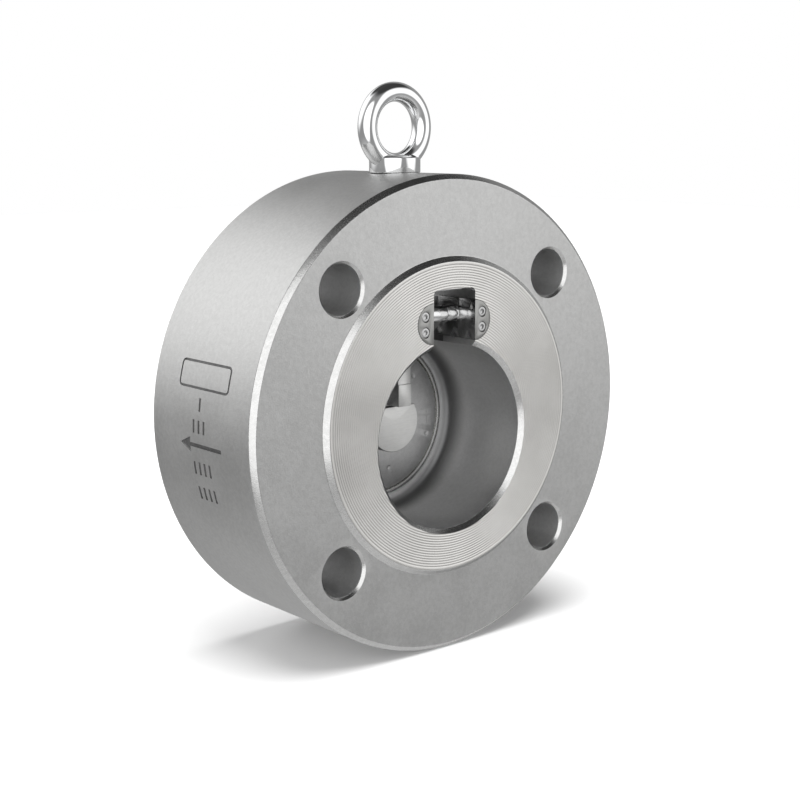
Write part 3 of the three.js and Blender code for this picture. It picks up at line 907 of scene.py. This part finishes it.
def sleeve(name, inner, outer, x0, x1, material, body, slot, node, ease=0.15):
    """A tube on the hinge pin, or a solid pin where the inner radius is nothing."""
    if inner > 0:
        profile = eased([(inner, x0), (outer, x0), (outer, x1), (inner, x1)], ease, 2, True)
        piece = turned(name, profile, MEDIUM, "X", (PIN_Y, PIN_Z), True)
    else:
        profile = eased([(0.0, x0), (outer, x0), (outer, x1), (0.0, x1)], ease, 2)
        piece = turned(name, profile, MEDIUM, "X", (PIN_Y, PIN_Z))
    paint(piece, material)
    return fit(piece, body, slot, node)


def make_pin_parts():
    bore = PIN_R + 0.1
    sleeve("pivot_pin", 0.0, PIN_R, -PIN_HALF, PIN_HALF, PIN, "valve_body",
           "polished_steel", "hinge_pin", 0.4)
    sleeve("bearing_bush", bore, BUSH_R, -KNUCKLE_HALF, KNUCKLE_HALF, BRONZE, "swing_arm",
           "bronze", "arm_bush")
    sleeve("spacer_sleeve", bore, SPACER_R, KNUCKLE_HALF + 0.15, SLOT_HALF - 0.02, PIN,
           "valve_body", "polished_steel", "pin_spacer", 0.03)
    sleeve("thrust_washer", bore, WASHER_R, -KNUCKLE_HALF - GAP - 0.8,
           -KNUCKLE_HALF - GAP, SEAT, "valve_body", "machined_steel", "spring_washer")


def make_spring():
    """A torsion coil round the pin with a straight leg at each end."""
    coil_r, leg, turns = 3.1, 4.5, 3.25
    x0, x1 = -SLOT_HALF + 0.8, -KNUCKLE_HALF - 1.7
    share, steps = 0.12, 110
    path = []
    for i in range(steps + 1):
        t = i / steps
        wound = min(1.0, max(0.0, (t - share) / (1 - 2 * share)))
        a = wound * turns * 2 * math.pi
        out = max(0.0, 1 - t / share) + max(0.0, 1 - (1 - t) / share)
        way = (-1 if t < 0.5 else 1) * leg * out
        path.append((
            x0 + (x1 - x0) * wound,
            PIN_Y + coil_r * math.cos(a) - way * math.sin(a),
            PIN_Z + coil_r * math.sin(a) + way * math.cos(a),
        ))
    spring = wire("torsion_spring", path, 0.44)
    paint(spring, SPRING)
    return fit(spring, "valve_body", "spring_steel", "closing_spring")


# ---- bearing blocks, keepers and screws ------------------------------------------------

def recess_end(name, sign, y0, y1):
    """One end of the oval recess, from the slot's wall outward."""
    piece = pushed(name, oval_outline(RECESS_HALF - GAP, RECESS_R - GAP), "Y", y0, y1)
    edges = sorted((sign * SLOT_HALF, sign * (RECESS_HALF + 1)))
    return combine(piece, [block("side", *edges, y0 - 1, y1 + 1, 20, 60)], "INTERSECT")


def inner_wall(at, normal):
    """Picks the polished finish for the faces that line the slot."""
    return 1 if abs(normal.x) > 0.8 and abs(at.x) < SLOT_HALF + 0.3 else 0


def make_block(side, sign):
    piece = recess_end("bearing_block_" + side, sign, KEEPER_Y, RECESS_Y - GAP)
    tools = [turned("bore", [
        (0.0, -PIN_HALF - GAP), (PIN_R + 0.05, -PIN_HALF - GAP),
        (PIN_R + 0.05, PIN_HALF + GAP), (0.0, PIN_HALF + GAP),
    ], MEDIUM, "X", (PIN_Y, PIN_Z))]
    for z in SCREW_Z:
        tools.append(plug(1.15, KEEPER_Y - 1, 1.15, KEEPER_Y + 9.5, SMALL, sign * SCREW_X, z))
    combine(piece, tools)
    soften(piece, 0.2)
    paint(piece, KEEPER, WALL, choose=inner_wall)
    return fit(piece, "valve_body", "polished_steel", "pin_block_" + side)


def make_keeper(side, sign):
    piece = recess_end("keeper_plate_" + side, sign, -FACE, KEEPER_Y - GAP)
    tools = []
    for z in SCREW_Z:
        tools.append(turned("hole", [
            (0.0, -FACE - 1.0), (3.2, -FACE - 1.0), (2.08, -FACE + 0.12), (2.08, -FACE + 0.95),
            (1.15, -FACE + 1.95), (1.15, KEEPER_Y + 1.0), (0.0, KEEPER_Y + 1.0),
        ], SMALL, "Y", (sign * SCREW_X, z)))
    combine(piece, tools)
    soften(piece, 0.22)
    paint(piece, KEEPER, WALL, choose=inner_wall)
    return fit(piece, "valve_body", "machined_steel", "pin_keeper_" + side)


def make_screw(side, sign, level, z):
    end = KEEPER_Y + 9.0
    profile = [(0.0, -FACE + 0.25)] + eased([
        (1.2, -FACE + 0.25, 0.0), (1.85, -FACE + 0.27, 0.1), (2.0, -FACE + 0.45, 0.1),
        (2.0, -FACE + 0.95), (1.0, -FACE + 1.95), (1.0, end, 0.0),
    ], 0.1) + [(0.0, end)]
    screw = turned("keeper_bolt_{}_{}".format(side, level), profile, 48, "Y",
                   (sign * SCREW_X, z))
    socket = pushed("socket", arc(sign * SCREW_X, z, 1.05, 15, 315, 5), "Y",
                    -FACE - 1.0, -FACE + 0.85)
    combine(screw, [socket])
    soften(screw, 0.06)
    paint(screw, SCREW)
    node = "keeper_screw_{}_{}".format(side, level)
    return fit(screw, "valve_body", "screw_steel", node)


# ---- eye bolt ------------------------------------------------------------------------

def shank_profile():
    """Threaded shank, collar with a thin flat top, from the tip upward."""
    tip = EYE_SEAT_Z - 13.0
    profile = [(0.0, tip), (3.2, tip), (4.0, tip + 0.8)]
    pitch = 1.25
    z = tip + 0.9
    while z < EYE_SEAT_Z - 2.2:
        profile += [(3.4, z + 0.5 * pitch), (4.0, z + 0.9 * pitch), (4.0, z + pitch)]
        z += pitch
    collar = eased([
        (3.6, EYE_SEAT_Z - 0.9, 0.0), (3.6, EYE_SEAT_Z, 0.0), (EYE_COLLAR_R, EYE_SEAT_Z),
        (EYE_COLLAR_R, EYE_SEAT_Z + 6.0), (EYE_COLLAR_R - 1.2, EYE_SEAT_Z + 6.6),
        (7.4, EYE_SEAT_Z + 7.0), (0.0, EYE_SEAT_Z + 7.0),
    ], 0.35, 3)
    return profile + collar


def make_eye_bolt():
    ring = turned("lifting_eye_bolt", [
        (EYE_RING_R + EYE_BAR_R * math.cos(a), EYE_BAR_R * math.sin(a))
        for a in [2 * math.pi * i / 48 for i in range(48)]
    ], 160, "Y", (0.0, EYE_Z), True)
    shank = turned("shank", shank_profile(), 128, "Z")
    combine(ring, [shank], "UNION")
    paint(ring, CHROME)
    return fit(ring, "valve_body", "chromed_steel", "eye_bolt")


# ---- assembly ------------------------------------------------------------------------

make_body()
make_seat_ring()
make_disc()
make_washer()
make_nut()
make_lock_pin()
make_arm()
make_pin_parts()
make_spring()
for side, sign in (("left", -1), ("right", 1)):
    make_block(side, sign)
    make_keeper(side, sign)
    for level, height in zip(("lower", "upper"), SCREW_Z):
        make_screw(side, sign, level, height)
make_eye_bolt()

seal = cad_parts["seat_seal"]
seal.data.materials.clear()
seal.data.materials.append(RUBBER)


# ---- studio --------------------------------------------------------------------------

def toward(azimuth, elevation):
    """Unit vector; azimuth is counted from +X towards +Y, in degrees."""
    a, e = math.radians(azimuth), math.radians(elevation)
    return (math.cos(a) * math.cos(e), math.sin(a) * math.cos(e), math.sin(e))


# Soft panels of the studio: azimuth, elevation, inner and outer half-angle, brightness.
PANELS = (
    (0.0, -90.0, 25.0, 75.0, 0.72),
    (118.0, 36.0, 18.0, 48.0, 1.5),
    (222.0, 12.0, 33.0, 43.0, 1.6),
    (312.0, 14.0, 20.0, 34.0, 1.3),
    (330.0, 66.0, 24.0, 42.0, 0.05),
    (70.0, 66.0, 14.0, 30.0, 0.06),
)
ROOM = 0.34


def studio_world():
    world = bpy.data.worlds.new("studio")
    bpy.context.scene.world = world
    world.use_nodes = True
    f = Finish("studio", world.node_tree)
    direction = f.node("ShaderNodeTexCoord", out="Generated")
    level = ROOM
    for azimuth, elevation, inner, outer, bright in PANELS:
        facing = f.node("ShaderNodeVectorMath", {"operation": "DOT_PRODUCT"},
                        {0: direction, 1: toward(azimuth, elevation)}, "Value")
        inside = f.ramp(facing, math.cos(math.radians(outer)), math.cos(math.radians(inner)))
        level = level * (1 - inside) + inside * bright
    seen = f.node("ShaderNodeLightPath", out="Is Camera Ray")
    level = level * (1 - seen) + seen * 1.0
    shade = f.node("ShaderNodeBackground", None, {"Color": (1.0, 1.0, 1.0), "Strength": level})
    output = f.tree.nodes.new("ShaderNodeOutputWorld")
    f.tree.links.new(shade.socket, output.inputs["Surface"])


def studio_floor():
    low = cad_box[0].z
    floor = piece_from("floor", [(-3000, -3000, -6), (3000, -3000, -6), (3000, 3000, -6),
                                 (-3000, 3000, -6), (-3000, -3000, 0), (3000, -3000, 0),
                                 (3000, 3000, 0), (-3000, 3000, 0)],
                       [(0, 1, 2, 3), (4, 5, 6, 7), (0, 1, 5, 4), (1, 2, 6, 5), (2, 3, 7, 6),
                        (3, 0, 4, 7)])
    floor.location.z = low - 0.0002
    f = Finish("floor_paint")
    soft = f.noise(f.place(), 6.0, 2.0)
    tone = f.mix(soft, (0.86, 0.86, 0.86), (0.9, 0.9, 0.9))
    floor.data.materials.append(f.shade(Base_Color=tone, Roughness=0.7))
    floor.visible_glossy = False


def floor_light():
    """A wide lamp for the floor; the metals reflect the world's panels and not the lamp."""
    distance = 9.0
    data = bpy.data.lights.new("floor_light", "AREA")
    data.shape = "DISK"
    data.size = 8.0
    data.energy = 1150.0
    light = bpy.data.objects.new("floor_light", data)
    light.visible_glossy = False
    aim = Vector(toward(250.0, 80.0))
    light.location = aim * distance
    light.rotation_mode = "QUATERNION"
    light.rotation_quaternion = aim.to_track_quat("Z", "Y")
    bpy.context.scene.collection.objects.link(light)


def camera():
    data = bpy.data.cameras.new("camera")
    data.lens = 67.10
    data.sensor_width = 36.0
    eye = bpy.data.objects.new("camera", data)
    eye.location = (-0.3874, -0.4653, 0.1111)
    look = Vector((0.6323, 0.7541, -0.1774))
    eye.rotation_mode = "QUATERNION"
    eye.rotation_quaternion = (-look).to_track_quat("Z", "Y")
    bpy.context.scene.collection.objects.link(eye)
    bpy.context.scene.camera = eye


studio_world()
studio_floor()
floor_light()
camera()
bpy.context.scene.view_settings.view_transform = "Standard"
